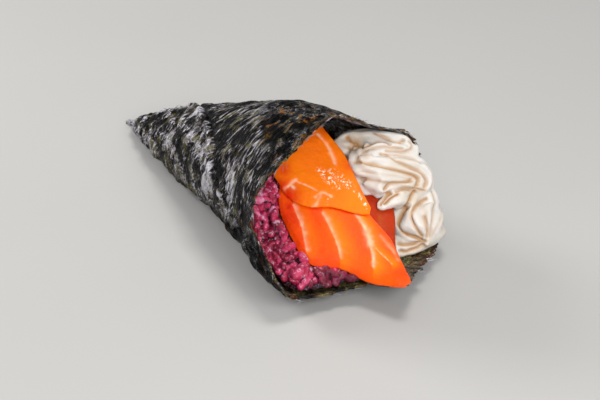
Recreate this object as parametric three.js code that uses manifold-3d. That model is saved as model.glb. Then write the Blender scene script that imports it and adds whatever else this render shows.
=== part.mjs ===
// A salmon temaki: a cone of rolled nori lying on its side, filled with purple rice, three
// slices of raw salmon and a piped rope of cream cheese with a shell at its end.
// Millimetres, +Z up. +X runs from the tip of the cone to its mouth, -Y is the side on which
// the rolled sheet's free edge shows. The origin is under the middle of the whole roll.
import * as THREE from "three";
import { mergeVertices } from "three/addons/utils/BufferGeometryUtils.js";
import Module from "manifold-3d";

const wasm = await Module();
wasm.setup();

// ---- Driving dimensions ----
const tip = { x: -3, height: 1.6, radius: 0.9 };
const mouth = { at: 120, halfWidth: 31.5, halfHeight: 27 }; // the cone's section 120 mm from its tip
const widthPower = 0.88; // below 1 the sides bulge a little on their way to the mouth
const heightPower = 0.85;
const squareness = { tail: 2.5, mouth: 5, from: 85, over: 45 }; // exponent of the lower half's outline
const tongue = { from: 112, rise: 0.3, ease: 8 }; // past here the underside curls up off the table
const nori = { wall: 0.7, flap: 0.6, rows: 20, columns: 40, innerFrom: 17, innerRow: 4, fillRow: 8 };
const crumple = { depth: 0.42, waves: 9, along: 0.16 };
const sag = { drop: 8.6, from: 80, over: 36, angle: 4, across: 108 }; // the far side of the mouth's top
const pressed = 0.45; // the underside is pressed flat by this much where it lies on the table
const gap = 0.36; // clearance between one piece and the next
const spill = { reach: 30, proud: 2.2 }; // the filling may come out this far past the rim, and over it
const middle = { x: 73.9, y: -1.3 }; // of the whole roll, from the cone's tip: the origin is under it

// The sheet's far edge, as degrees round the section (0 far side, 90 top, 180 near side, 270 under)
// and millimetres from the tip. The two corners of the sheet are at 229 and 267 degrees.
const rimPoints = [
  [0, 115], [22, 113.5], [45, 112], [70, 114], [90, 118], [112, 122.5], [128, 123], [150, 119.5],
  [166, 114.5], [186, 113.5], [198, 121], [210, 129], [229, 132], [246, 134.5], [259, 138.5],
  [267, 150], [284, 142], [302, 134.5], [315, 128], [335, 119], [360, 115],
];
// Where the rolled sheet's free edge crosses the outside, from the tip end to the mouth.
const flapPoints = [
  [0, -20], [0.2, 20], [0.34, 75], [0.457, 111], [0.557, 129], [0.64, 144], [0.7, 157], [0.765, 170],
  [0.81, 177], [0.9, 200], [1, 229],
];

const fill = { peak: 24.7, peakX: 117, peakY: -7 }; // a point on the ridge of the filling
const farSlope = { x: -0.537, y: 0.274 };
const nearSlope = { x: -0.571, y: 0.873 };
const ridgeRound = 4;
const tipCurl = { from: 132, bend: 0.02 }; // the filling's slope levels out over the tongue
const slice = { rings: 4, around: 38, thinFrom: 134, thinOver: 15, thinBy: 0.5 };
const rice = {
  below: 4.6, // under the salmon's top surface
  nearBank: 3.4, // piled higher against the near side of the sheet, past bankFrom
  bankFrom: -14,
  front: 8.4, // level of the front edge, from frontFrom on
  frontFrom: 112,
  shortOfRim: 1.2,
  farLevel: 20, // on the far side the rice lies low from farBack to farEnd, and the roll is hollow over it
  farBack: 78,
  farEnd: 100,
  farRise: 1.4,
  lumps: 0.5,
};
const grain = {
  long: 6.4,
  wide: 3.6,
  sides: 5,
  count: 56,
  tries: 1600,
  seed: 11,
  spacing: 3.1,
  sunk: 0.2,
  onTop: { share: 0.65, x: [96, 136], y: [-31, -2] },
  onFront: { degrees: [205, 264], inward: 0.35 },
};
const rope = { radius: 4.7, lobes: 8, lobeDepth: 0.2, turns: 0.3, steps: 60 };

// ---- Small helpers ----
const clamp = (v, low, high) => Math.min(high, Math.max(low, v));
const mix = (a, b, f) => a + (b - a) * f;
const smooth = (v) => {
  const f = clamp(v, 0, 1);
  return f * f * (3 - 2 * f);
};
const radians = (degrees) => (degrees * Math.PI) / 180;

function smoothMin(a, b, k) {
  const h = clamp(0.5 + (0.5 * (b - a)) / k, 0, 1);
  return mix(b, a, h) - k * h * (1 - h);
}

// The value at x of a line through points [x, value], its corners kept.
function along(points, x) {
  const i = clamp(points.findIndex((p) => p[0] > x), 1, points.length - 1);
  const [a, b] = x >= points.at(-1)[0] ? points.slice(-2) : [points[i - 1], points[i]];
  return mix(a[1], b[1], clamp((x - a[0]) / (b[0] - a[0]), 0, 1));
}

function seeded(seed) {
  let state = seed;
  return () => {
    state = (state * 1664525 + 1013904223) % 4294967296;
    return state / 4294967296;
  };
}

const turned = (degrees) => ((degrees % 360) + 360) % 360;
const rimAt = (degrees) => along(rimPoints, turned(degrees));

function geometryOf(positions, index) {
  const made = new THREE.BufferGeometry();
  made.setAttribute("position", new THREE.Float32BufferAttribute(positions, 3));
  made.setIndex(index);
  return made;
}

function solidOf(geometry) {
  const bare = geometry.clone();
  bare.deleteAttribute("normal");
  bare.deleteAttribute("uv");
  const merged = mergeVertices(bare, 1e-3);
  const raw = new wasm.Mesh({
    numProp: 3,
    vertProperties: new Float32Array(merged.attributes.position.array),
    triVerts: new Uint32Array(merged.index.array),
  });
  const made = new wasm.Manifold(raw);
  return made.volume() < 0 ? solidOf(flipped(merged)) : made;
}

function flipped(geometry) {
  const index = Array.from(geometry.index.array);
  for (let i = 0; i < index.length; i += 3) {
    [index[i + 1], index[i + 2]] = [index[i + 2], index[i + 1]];
  }
  return geometryOf(Array.from(geometry.attributes.position.array), index);
}

// The largest piece of a solid, so that scraps of a cut are dropped.
const largest = (solid) =>
  solid.decompose().reduce((a, b) => (b.volume() > a.volume() ? b : a));

function meshOf(name, solid, color, roughness) {
  const m = solid.getMesh();
  const positions = [];
  for (let i = 0; i < m.numVert; i++) {
    positions.push(...m.vertProperties.subarray(i * m.numProp, i * m.numProp + 3));
  }
  const geometry = geometryOf(positions, Array.from(m.triVerts));
  geometry.computeVertexNormals();
  const material = new THREE.MeshStandardMaterial({ color, roughness, metalness: 0 });
  const made = new THREE.Mesh(geometry, material);
  made.name = name;
  return made;
}

// ---- The cone ----
// A point of the cone's smooth skin, t mm from the tip, at an angle round its section.
function skin(t, degrees) {
  const share = Math.max(t, 0) / mouth.at;
  const a = mouth.halfWidth * share ** widthPower + tip.radius;
  const b = mouth.halfHeight * share ** heightPower + tip.radius;
  const c = Math.cos(radians(degrees));
  const s = Math.sin(radians(degrees));
  const square = mix(squareness.tail, squareness.mouth, smooth((t - squareness.from) / squareness.over));
  const power = s > 0 ? 2 : square;
  const k = (Math.abs(c) ** power + Math.abs(s) ** power) ** (-1 / power);
  const past = Math.max(0, t - tongue.from);
  const lift = (tongue.rise * past ** 1.5) / Math.sqrt(tongue.ease + past);
  const base = s < 0 ? lift : 0;
  const turn = clamp((turned(degrees - sag.angle)) / sag.across, 0, 1);
  const sagged = sag.drop * smooth((t - sag.from) / sag.over) * Math.sin(Math.PI * turn) ** 2;
  return new THREE.Vector3(t, a * c * k, base + (b - base) * (1 + s * k) - sagged);
}

// The outward direction of the skin there.
function outward(t, degrees) {
  const alongCone = skin(t + 0.5, degrees).sub(skin(Math.max(t - 0.5, 0), degrees));
  const around = skin(t, degrees + 1).sub(skin(t, degrees - 1));
  return around.cross(alongCone).normalize();
}

// Soft dents and folds of the dried sheet, stronger where it was crumpled into the tip.
function dents(t, degrees) {
  const d = radians(degrees);
  const fold = Math.sin(crumple.waves * d + crumple.along * t * 2.1) * Math.sin(crumple.along * t - 2 * d);
  const wide = Math.sin(3 * d - crumple.along * t * 0.7 + 1);
  const nearTip = 1 + 0.8 * (1 - smooth(t / 60));
  const small = smooth(t / 14);
  return crumple.depth * nearTip * small * (0.7 * fold + 0.5 * wide);
}

function skinWith(t, degrees, offset) {
  const p = skin(t, degrees).addScaledVector(outward(t, degrees), offset + dents(t, degrees));
  p.z = Math.max(p.z - pressed, offset < 0 ? -offset : 0);
  return p;
}

// Grid of the rolled sheet's outside. Column 0 is the flap's free edge and the last column
// lies under it, one turn further on, so the sheet steps down by its own thickness there.
function sheetAngle(s, j) {
  const edge = along(flapPoints, s);
  const share = j / nori.columns;
  const relax = Math.sin(Math.PI * share) ** 2;
  return mix(edge, 180, relax * 0.85) - 360 * share;
}

const rowShare = (i) => (i / nori.rows) ** 1.15;
// Where the inside would start at the tip, for its first ring to lie at nori.innerFrom.
const innerStart = (nori.innerFrom - rimAt(0) * rowShare(nori.innerRow)) / (1 - rowShare(nori.innerRow));

function noriSheet() {
  const positions = [];
  const index = [];
  const wide = nori.columns + 1;
  const at = (t, degrees, offset) => positions.push(...skinWith(t, degrees, offset).toArray());
  const rowT = (s, degrees, from) => mix(from, rimAt(degrees), s);
  positions.push(tip.x, 0, tip.height);
  for (let i = 1; i <= nori.rows; i++) {
    const s = rowShare(i);
    for (let j = 0; j <= nori.columns; j++) {
      const degrees = sheetAngle(s, j);
      const step = nori.flap * (1 - j / nori.columns) * smooth(s / 0.3 + 0.12);
      at(rowT(s, degrees, 0), degrees, step);
    }
  }
  const outer = (i, j) => 1 + (i - 1) * wide + j;
  for (let j = 0; j < nori.columns; j++) {
    index.push(0, outer(1, j), outer(1, j + 1));
    for (let i = 1; i < nori.rows; i++) {
      index.push(outer(i, j), outer(i + 1, j), outer(i + 1, j + 1));
      index.push(outer(i, j), outer(i + 1, j + 1), outer(i, j + 1));
    }
  }
  // The step down from the flap's edge to the layer under it.
  index.push(0, outer(1, nori.columns), outer(1, 0));
  for (let i = 1; i < nori.rows; i++) {
    index.push(outer(i, nori.columns), outer(i + 1, nori.columns), outer(i + 1, 0));
    index.push(outer(i, nori.columns), outer(i + 1, 0), outer(i, 0));
  }
  // The inside, from a blunt point behind the tip out to the rim.
  const first = nori.innerRow;
  const innerTip = positions.length / 3;
  positions.push(nori.innerFrom - 3, 0, skin(nori.innerFrom - 3, 90).z / 2);
  for (let i = first; i <= nori.rows; i++) {
    const s = rowShare(i);
    for (let j = 0; j < nori.columns; j++) {
      const degrees = sheetAngle(s, j);
      at(rowT(s, degrees, innerStart), degrees, -nori.wall);
    }
  }
  const inner = (i, j) => innerTip + 1 + (i - first) * nori.columns + (j % nori.columns);
  for (let j = 0; j < nori.columns; j++) {
    index.push(innerTip, inner(first, j + 1), inner(first, j));
    for (let i = first; i < nori.rows; i++) {
      index.push(inner(i, j), inner(i + 1, j + 1), inner(i + 1, j));
      index.push(inner(i, j), inner(i, j + 1), inner(i + 1, j + 1));
    }
    // The rim itself.
    index.push(outer(nori.rows, j), inner(nori.rows, j), inner(nori.rows, j + 1));
    index.push(outer(nori.rows, j), inner(nori.rows, j + 1), outer(nori.rows, j + 1));
  }
  index.push(outer(nori.rows, nori.columns), inner(nori.rows, 0), outer(nori.rows, 0));
  return solidOf(geometryOf(positions, index));
}

// The room inside the sheet, a closed solid. It stops short of the rim, or goes on past it
// and there stands proud of the sheet, where the filling spills out.
function noriRoom(shrink, pastRim, proud) {
  const positions = [];
  const ring = (s, pastEdge, offset) => {
    for (let j = 0; j < nori.columns; j++) {
      const degrees = sheetAngle(s, j);
      const t = mix(innerStart, rimAt(degrees), s) + pastEdge;
      positions.push(...skinWith(t, degrees, offset).toArray());
    }
  };
  for (let i = nori.fillRow; i < nori.rows; i++) ring(rowShare(i), 0, -nori.wall - shrink);
  ring(1, Math.min(pastRim, shrink), -nori.wall - shrink);
  if (pastRim > 0) {
    ring(1, shrink + 0.2, proud);
    ring(1, pastRim, proud);
  }
  const back = positions.length / 3;
  const rings = back / nori.columns;
  const first = skin(positions[0], 90);
  positions.push(first.x - 1, 0, first.z / 2, mouth.at + pastRim, 0, mouth.halfHeight);
  const at = (i, j) => i * nori.columns + (j % nori.columns);
  const index = [];
  for (let j = 0; j < nori.columns; j++) {
    index.push(back, at(0, j), at(0, j + 1));
    index.push(back + 1, at(rings - 1, j + 1), at(rings - 1, j));
    for (let i = 0; i < rings - 1; i++) {
      index.push(at(i, j), at(i + 1, j), at(i + 1, j + 1));
      index.push(at(i, j), at(i + 1, j + 1), at(i, j + 1));
    }
  }
  return solidOf(geometryOf(positions, index));
}

// ---- The filling's slope ----
// Height of the salmon's top surface over a point of the table: two slopes that meet in a
// rounded ridge along the roll, dropped by a depth on the far side and another on the near one.
function slope(x, y, farDrop, nearDrop) {
  const curl = tipCurl.bend * Math.max(0, x - tipCurl.from) ** 2;
  const far = fill.peak + farSlope.x * (x - fill.peakX) + farSlope.y * (y - fill.peakY) - farDrop;
  const near = fill.peak + nearSlope.x * (x - fill.peakX) + nearSlope.y * (y - fill.peakY) - nearDrop;
  return smoothMin(far, near, ridgeRound) + curl;
}

// Underside of the top of the cone over a point, kept clear of the sheet.
function ceiling(x, y) {
  const t = Math.max(x, 1);
  const a = mouth.halfWidth * (t / mouth.at) ** widthPower + tip.radius;
  const b = mouth.halfHeight * (t / mouth.at) ** heightPower + tip.radius;
  const inside = Math.max(0, 1 - (y / (a - 1)) ** 2);
  return b * (1 + Math.sqrt(inside)) - nori.wall - crumple.depth * 2 - 1;
}

// ---- Salmon ----
// Each slice is a slab over a rounded outline on the plan, draped over the slope.
const slices = {
  salmon_slice_top: {
    farDrop: 0,
    nearDrop: -2.4,
    thick: 3.6,
    outline: [
      [80, 1], [91, 6.6], [100, 7.4], [108, 7.7], [114, 6.6], [120.5, 5.2], [126.2, 3.8], [123, -0.8],
      [118, -5.4], [114, -10.6], [109, -13.6], [103.5, -14], [97, -13], [90, -11], [82, -7],
    ],
  },
  salmon_slice_front: {
    farDrop: 2.3,
    nearDrop: 0,
    thick: 4.2,
    outline: [
      [104, 2], [114, 4], [125.5, 4.4], [133, 5.2], [138, 3.8], [145, 1], [151, -2], [151, -4.4],
      [144, -7], [137, -9.4], [131, -11.6], [127.4, -14.6], [122.6, -18], [116, -18], [111, -17.4],
      [106, -16.4], [101, -12], [99, -4],
    ],
  },
  salmon_slice_under: {
    farDrop: 6.9,
    nearDrop: 4.6,
    thick: 3.6,
    outline: [
      [104, 8], [109, 15], [117, 16.6], [125, 13.4], [132, 8], [139, 4], [145, -2.2],
      [141, -5.6], [134, -7], [122, -6], [110, -2], [104, 3],
    ],
  },
};

function roundedOutline(points) {
  const curve = new THREE.CatmullRomCurve3(
    points.map(([x, y]) => new THREE.Vector3(x, y, 0)),
    true,
    "catmullrom",
    0.5,
  );
  return curve.getSpacedPoints(slice.around).slice(0, slice.around);
}

function slab({ farDrop, nearDrop, thick, outline }, grow) {
  const edge = roundedOutline(outline);
  const middle = edge.reduce((a, p) => a.add(p), new THREE.Vector3()).divideScalar(edge.length);
  const top = (x, y) => smoothMin(slope(x, y, farDrop, nearDrop), ceiling(x, y), 2);
  const positions = [];
  const index = [];
  const rings = slice.rings;
  const half = thick / 2 + grow;
  const ringAt = (share, side) => {
    for (const p of edge) {
      const out = p.clone().sub(middle);
      out.setLength(out.length() * share + grow * share);
      const x = middle.x + out.x;
      const y = middle.y + out.y;
      const thin = 1 - slice.thinBy * smooth((x - slice.thinFrom) / slice.thinOver);
      const z = top(x, y) - (thick / 2) * thin;
      positions.push(x, y, z + side * (half * thin + (1 - thin) * grow) * (1 - share ** 6) ** 0.5);
    }
  };
  const shares = Array.from({ length: rings }, (_, i) => Math.sin(((i + 1) / rings) * (Math.PI / 2)));
  const centreZ = top(middle.x, middle.y) - thick / 2;
  const centre = (side) => positions.push(middle.x, middle.y, centreZ + side * half);
  centre(1);
  shares.forEach((share) => ringAt(share, 1));
  shares.slice(0, -1).reverse().forEach((share) => ringAt(share, -1));
  centre(-1);
  const count = edge.length;
  const at = (ring, j) => 1 + ring * count + (j % count);
  const ringsInAll = 2 * rings - 1;
  for (let j = 0; j < count; j++) {
    index.push(0, at(0, j), at(0, j + 1));
    for (let r = 0; r < ringsInAll - 1; r++) {
      index.push(at(r, j), at(r + 1, j), at(r + 1, j + 1));
      index.push(at(r, j), at(r + 1, j + 1), at(r, j + 1));
    }
    index.push(at(ringsInAll - 1, j + 1), at(ringsInAll - 1, j), at(ringsInAll, 0));
  }
  return solidOf(geometryOf(positions, index));
}

// ---- Cream cheese ----
// The rope is piped to and fro over the far half of the mouth, one pass below the other, on a
// mound of cream. A short tail hooks out from under the last pass, and the shell below it is a
// fat blob drawn out to a point.
const mounds = [
  { at: [103, 18.5, 12], reach: [17, 11, 17], power: 3 },
  { at: [111, 15, 18], reach: [9.5, 11.5, 10], power: 2.2 },
  { at: [126, 17.5, 5], reach: [6.5, 8, 5], power: 2.2 },
  { at: [122, 26.5, 15], reach: [5.5, 5.3, 5.5], power: 2 },
];
const passes = [
  { from: [101, 9.5, 30.6], to: [110.2, 27.2, 30.2] },
  { from: [113.6, 26.8, 27.4], to: [109.6, 13, 30] },
  { from: [113.2, 11, 28], to: [119, 27.4, 23.4] },
  { from: [120.8, 25.8, 20], to: [117.4, 11.6, 25] },
];
const tail = { from: [121.6, 21, 18.6], over: [122.6, 15, 20.8], to: [122.8, 9.4, 20.2], radius: 3.4, steps: 10 };
const passBow = 0.8; // each pass bows outwards in its middle

const curveOf = (...points) => new THREE.CatmullRomCurve3(points.map((p) => new THREE.Vector3(...p)));

function ropePath() {
  const points = [];
  for (const { from, to } of passes) {
    for (const share of [0, 0.35, 0.7, 1]) {
      const p = new THREE.Vector3(...from).lerp(new THREE.Vector3(...to), share);
      p.z += passBow * Math.sin(Math.PI * share);
      points.push(p);
    }
  }
  return new THREE.CatmullRomCurve3(points, false, "centripetal");
}

// Half-width of a star-nozzle section at an angle round it.
const star = (angle, lobes, depth) => 1 - depth * (0.5 - 0.5 * Math.cos(lobes * angle)) ** 0.7;

// A closed solid swept along a curve, with a radius and a twist for each share of its length.
function swept(curve, steps, sides, turns, radiusAt, sectionAt) {
  const positions = [];
  const index = [];
  const frames = curve.computeFrenetFrames(steps, false);
  const first = curve.getPointAt(0).addScaledVector(frames.tangents[0], -radiusAt(0) * 0.6);
  positions.push(...first.toArray());
  for (let i = 0; i <= steps; i++) {
    const share = i / steps;
    const centre = curve.getPointAt(share);
    for (let j = 0; j < sides; j++) {
      const around = (2 * Math.PI * j) / sides;
      const angle = around + share * turns * 2 * Math.PI;
      const r = radiusAt(share) * sectionAt(around);
      const p = centre
        .clone()
        .addScaledVector(frames.normals[i], r * Math.cos(angle))
        .addScaledVector(frames.binormals[i], r * Math.sin(angle));
      positions.push(...p.toArray());
    }
  }
  const last = curve.getPointAt(1).addScaledVector(frames.tangents[steps], radiusAt(1) * 0.9);
  const end = positions.length / 3;
  positions.push(...last.toArray());
  const at = (i, j) => 1 + i * sides + (j % sides);
  for (let j = 0; j < sides; j++) {
    index.push(0, at(0, j + 1), at(0, j));
    for (let i = 0; i < steps; i++) {
      index.push(at(i, j), at(i, j + 1), at(i + 1, j + 1));
      index.push(at(i, j), at(i + 1, j + 1), at(i + 1, j));
    }
    index.push(end, at(steps, j), at(steps, j + 1));
  }
  return solidOf(geometryOf(positions, index));
}

// The cream under the rope: what the nozzle laid down first.
function moundSolid({ at, reach, power }, grow) {
  const geometry = new THREE.IcosahedronGeometry(1, 2);
  const p = geometry.attributes.position;
  for (let i = 0; i < p.count; i++) {
    const v = [p.getX(i), p.getY(i), p.getZ(i)];
    const k = v.reduce((sum, c) => sum + Math.abs(c) ** power, 0) ** (-1 / power);
    p.setXYZ(i, ...v.map((c, axis) => at[axis] + (reach[axis] + grow) * c * k));
  }
  return solidOf(stripped(geometry));
}

function stripped(geometry) {
  geometry.deleteAttribute("normal");
  geometry.deleteAttribute("uv");
  return mergeVertices(geometry, 1e-4);
}

const shell = {
  head: [117, 25.5, 15],
  belly: [122.8, 22.8, 10],
  tail: [132.6, 19.4, 8.2],
  radius: 9.6,
  power: 2.3,
  lobes: 9,
  depth: 0.18,
  turns: 0.1,
  steps: 12,
};

function creamCheese() {
  const ropeRadius = (share) => rope.radius * (0.6 + 0.4 * smooth(share / 0.05));
  const ropeStar = (angle) => star(angle, rope.lobes, rope.lobeDepth);
  const ropeSolid = swept(ropePath(), rope.steps, rope.lobes * 2, rope.turns, ropeRadius, ropeStar);
  const tailRadius = (share) => tail.radius * (1 - 0.55 * smooth((share - 0.5) / 0.5));
  const tailSolid = swept(curveOf(tail.from, tail.over, tail.to), tail.steps, 12, 0, tailRadius, (angle) =>
    star(angle, 6, rope.lobeDepth),
  );
  const shellPath = curveOf(shell.head, shell.belly, shell.tail);
  const shellRadius = (share) =>
    shell.radius * clamp(1 - Math.abs(2 * share - 1) ** shell.power, 0.01, 1) ** (1 / shell.power);
  const shellSolid = swept(shellPath, shell.steps, shell.lobes * 2, shell.turns, shellRadius, (angle) =>
    star(angle, shell.lobes, shell.depth),
  );
  const piped = ropeSolid.add(tailSolid).add(shellSolid);
  return mounds.reduce((all, mound) => all.add(moundSolid(mound, 0)), piped);
}

// ---- Rice ----
// Height of the bare rice over a point: under the slices it follows their slope, it banks up
// against the near side of the sheet, and on the far side it ends behind the cream.
function riceTop(x, y) {
  const bank = smooth((rice.bankFrom - y) / 8) * rice.nearBank;
  const lumps = rice.lumps * Math.sin(x * 1.3 + y) * Math.sin(y * 1.1 - x * 0.4);
  const under = slope(x, y, rice.below + 2, rice.below - 1.6) + bank + lumps;
  const near = 1 - smooth((y + 1) / 6);
  const farFloor = rice.farLevel * (1 - smooth((x - rice.farEnd) / 12));
  const back = farFloor + rice.farRise * Math.max(0, rice.farBack - x) + 60 * near;
  const front = rice.front * smooth((x - rice.frontFrom) / 8) * smooth(-y / 5);
  return Math.max(smoothMin(under, back, 2), front);
}

// A block whose top is the rice's, to cut the room inside the sheet with.
function underRice() {
  const low = { x: nori.innerFrom - 5, y: -40, z: -5 };
  const size = { x: 140, y: 80 };
  const cells = { x: 20, y: 14 };
  const positions = [];
  const index = [];
  const ix = (i, j, k) => (i * (cells.y + 1) + j) * 2 + k;
  for (let i = 0; i <= cells.x; i++) {
    for (let j = 0; j <= cells.y; j++) {
      const x = low.x + size.x * (i / cells.x) ** 0.75;
      const y = low.y + (size.y * j) / cells.y;
      positions.push(x, y, low.z, x, y, riceTop(x, y));
    }
  }
  const face = (a, b, c, d) => index.push(a, b, c, a, c, d);
  for (let i = 0; i < cells.x; i++) {
    for (let j = 0; j < cells.y; j++) {
      face(ix(i, j, 1), ix(i + 1, j, 1), ix(i + 1, j + 1, 1), ix(i, j + 1, 1));
      face(ix(i, j, 0), ix(i, j + 1, 0), ix(i + 1, j + 1, 0), ix(i + 1, j, 0));
    }
    face(ix(i, 0, 0), ix(i + 1, 0, 0), ix(i + 1, 0, 1), ix(i, 0, 1));
    face(ix(i + 1, cells.y, 0), ix(i, cells.y, 0), ix(i, cells.y, 1), ix(i + 1, cells.y, 1));
  }
  for (let j = 0; j < cells.y; j++) {
    face(ix(0, j + 1, 0), ix(0, j, 0), ix(0, j, 1), ix(0, j + 1, 1));
    face(ix(cells.x, j, 0), ix(cells.x, j + 1, 0), ix(cells.x, j + 1, 1), ix(cells.x, j, 1));
  }
  return solidOf(geometryOf(positions, index));
}

function grainSolid({ place, spin, tilt }, length) {
  const geometry = new THREE.SphereGeometry(0.5, grain.sides, 4);
  geometry.rotateZ(Math.PI / 2);
  geometry.scale(length, grain.wide, grain.wide * 0.85);
  geometry.rotateY(tilt);
  geometry.rotateZ(spin);
  geometry.translate(place.x, place.y, place.z);
  return solidOf(stripped(geometry));
}

// A place for a grain on top of the rice between the slices and the near side of the mouth, or
// on the rice's front face just behind the rim of the sheet.
function grainPlace(random) {
  const spin = random() * Math.PI;
  const tilt = (random() - 0.5) * 1.2;
  if (random() < grain.onTop.share) {
    const x = mix(...grain.onTop.x, random());
    const y = mix(...grain.onTop.y, random());
    return { place: new THREE.Vector3(x, y, riceTop(x, y) + grain.wide * grain.sunk), spin, tilt };
  }
  const degrees = mix(...grain.onFront.degrees, random());
  const inward = random() * grain.onFront.inward;
  const place = skinWith(rimAt(degrees) - grain.wide * 0.75, degrees, -nori.wall - grain.wide * 0.55);
  return { place: place.lerp(new THREE.Vector3(mouth.at - 3, 0, mouth.halfHeight), inward), spin, tilt };
}

// Seeded grains in the free room of the mouth, each one clear of the others' middles. One that
// would cross a slice or the sheet is shortened, or left out.
function showingGrains(free) {
  const random = seeded(grain.seed);
  const found = [];
  for (let tries = 0; tries < grain.tries && found.length < grain.count; tries++) {
    const at = grainPlace(random);
    if (found.some((other) => other.place.distanceTo(at.place) < grain.spacing)) continue;
    const fits = [grain.long, grain.long * 0.75]
      .map((length) => grainSolid(at, length))
      .find((one) => one.subtract(free).volume() < 1e-6);
    if (fits) found.push({ place: at.place, solid: fits });
  }
  return found.map((one) => one.solid);
}

const cut = (solid, ...others) => largest(others.reduce((rest, other) => rest.subtract(other), solid));

const room = noriRoom(gap, -rice.shortOfRim, 0);
const roomToRim = noriRoom(gap, -gap, 0);
const roomAhead = noriRoom(gap, spill.reach, spill.proud);
const slabs = Object.fromEntries(Object.entries(slices).map(([name, size]) => [name, slab(size, 0)]));
const around = Object.fromEntries(Object.entries(slices).map(([name, size]) => [name, slab(size, gap)]));

const top = slabs.salmon_slice_top.intersect(roomAhead);
const front = cut(slabs.salmon_slice_front.intersect(roomAhead), around.salmon_slice_top);
const under = cut(
  slabs.salmon_slice_under.intersect(roomAhead),
  around.salmon_slice_top,
  around.salmon_slice_front,
);
const cream = cut(creamCheese().intersect(roomAhead), ...Object.values(around));
const toppings = [...Object.values(around), ...mounds.map((mound) => moundSolid(mound, gap))];
const riceCore = cut(room.intersect(underRice()), ...toppings);
const grains = showingGrains(cut(roomToRim, ...toppings));
const riceHeap = largest(grains.reduce((heap, one) => heap.add(one), riceCore));

const group = new THREE.Group();
group.position.set(-middle.x, -middle.y, 0);
group.add(meshOf("nori_sheet", noriSheet(), 0x1c1f18, 0.45));
group.add(meshOf("salmon_slice_top", top, 0xf4662a, 0.3));
group.add(meshOf("salmon_slice_front", front, 0xf2602a, 0.3));
group.add(meshOf("salmon_slice_under", under, 0xe05a20, 0.3));
group.add(meshOf("cream_cheese", cream, 0xe4dacc, 0.55));
group.add(meshOf("rice", riceHeap, 0x93265a, 0.4));

export default group;
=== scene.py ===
import bmesh
import bpy
import math
import random
from mathutils import Matrix, Vector, noise
from mathutils.bvhtree import BVHTree
from mathutils.kdtree import KDTree


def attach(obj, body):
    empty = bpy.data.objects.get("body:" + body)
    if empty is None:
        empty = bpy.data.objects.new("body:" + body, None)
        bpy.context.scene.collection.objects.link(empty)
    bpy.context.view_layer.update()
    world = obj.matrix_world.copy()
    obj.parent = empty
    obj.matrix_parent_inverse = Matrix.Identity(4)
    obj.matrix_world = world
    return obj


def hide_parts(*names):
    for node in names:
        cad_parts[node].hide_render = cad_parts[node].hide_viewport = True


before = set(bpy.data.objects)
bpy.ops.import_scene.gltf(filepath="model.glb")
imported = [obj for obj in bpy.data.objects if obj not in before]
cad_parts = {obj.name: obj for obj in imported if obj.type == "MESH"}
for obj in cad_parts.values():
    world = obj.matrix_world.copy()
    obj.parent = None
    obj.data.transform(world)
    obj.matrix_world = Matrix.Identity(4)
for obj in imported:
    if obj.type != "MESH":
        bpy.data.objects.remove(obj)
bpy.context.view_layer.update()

# Everything is worked out in millimetres in the frame of the CAD model and turned
# into metres when a piece is finished.
mm = 0.001
coneTip = Vector((-73.9, 1.3, 0))  # the sums for the nori count from the tip of the cone


# Small sums

def clamp(value, low=0.0, high=1.0):
    return min(high, max(low, value))


def mix(a, b, share):
    return a + (b - a) * share


def smooth(value):
    share = clamp(value)
    return share * share * (3 - 2 * share)


def bell(distance, width):
    return math.exp(-((distance / width) ** 2))


# The height over x of a line through points
def along(points, x):
    for (x0, y0), (x1, y1) in zip(points, points[1:]):
        if x <= x1:
            return mix(y0, y1, clamp((x - x0) / (x1 - x0)))
    return points[-1][1]


def waver(x, y, z):
    return noise.noise(Vector((x, y, z)))


# Bumps of several kinds at a point, each kind with its height and its size
def bumpsAt(point, kinds):
    return sum(height * noise.noise(point / size) for height, size in kinds)


def srgb(red, green, blue):
    def linear(c):
        c /= 255
        return c / 12.92 if c <= 0.04045 else ((c + 0.055) / 1.055) ** 2.4
    return linear(red), linear(green), linear(blue), 1


# A smooth curve through points, with a few places between each two of them
def smoothLine(points, steps=12):
    points = [Vector(p) for p in points]
    ends = [points[0] * 2 - points[1]] + points + [points[-1] * 2 - points[-2]]
    line = []
    for a, b, c, d in zip(ends, ends[1:], ends[2:], ends[3:]):
        for i in range(steps):
            s = i / steps
            line.append(0.5 * (2 * b + (c - a) * s + (2 * a - 5 * b + 4 * c - d) * s ** 2
                               + (3 * b - a - 3 * c + d) * s ** 3))
    return line + [points[-1]]


# Pieces

def takeMesh(bm, name):
    mesh = bpy.data.meshes.new(name)
    bm.to_mesh(mesh)
    bm.free()
    return mesh


def addObject(name, data):
    item = bpy.data.objects.new(name, data)
    bpy.context.scene.collection.objects.link(item)
    return item


def finishPiece(bm, name, material, replaces):
    mesh = takeMesh(bm, name)
    mesh.transform(Matrix.Scale(mm, 4))
    mesh.shade_smooth()
    mesh.materials.append(material)
    piece = addObject(name, mesh)
    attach(piece, "root")
    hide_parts(replaces)
    print(name, len(mesh.polygons), "faces")


# A copy of a CAD node in millimetres, with its loose triangles joined
def nodeMesh(node):
    bm = bmesh.new()
    bm.from_mesh(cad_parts[node].data)
    bmesh.ops.scale(bm, verts=bm.verts, vec=(1 / mm,) * 3)
    bmesh.ops.remove_doubles(bm, verts=bm.verts, dist=0.001)
    return bm


# The same body with small even faces all over
def evenMesh(bm, voxel):
    mesh = takeMesh(bm, "coarse")
    holder = addObject("coarse", mesh)
    remesh = holder.modifiers.new("Remesh", "REMESH")
    remesh.mode = "VOXEL"
    remesh.voxel_size = voxel
    finished = holder.evaluated_get(bpy.context.evaluated_depsgraph_get())
    even = bmesh.new()
    even.from_mesh(finished.to_mesh())
    finished.to_mesh_clear()
    bpy.data.objects.remove(holder)
    bpy.data.meshes.remove(mesh)
    return even


# New attributes on the vertices, by their names
def addLayers(bm, *names):
    return {name: bm.verts.layers.float.new(name) for name in names}


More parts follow.
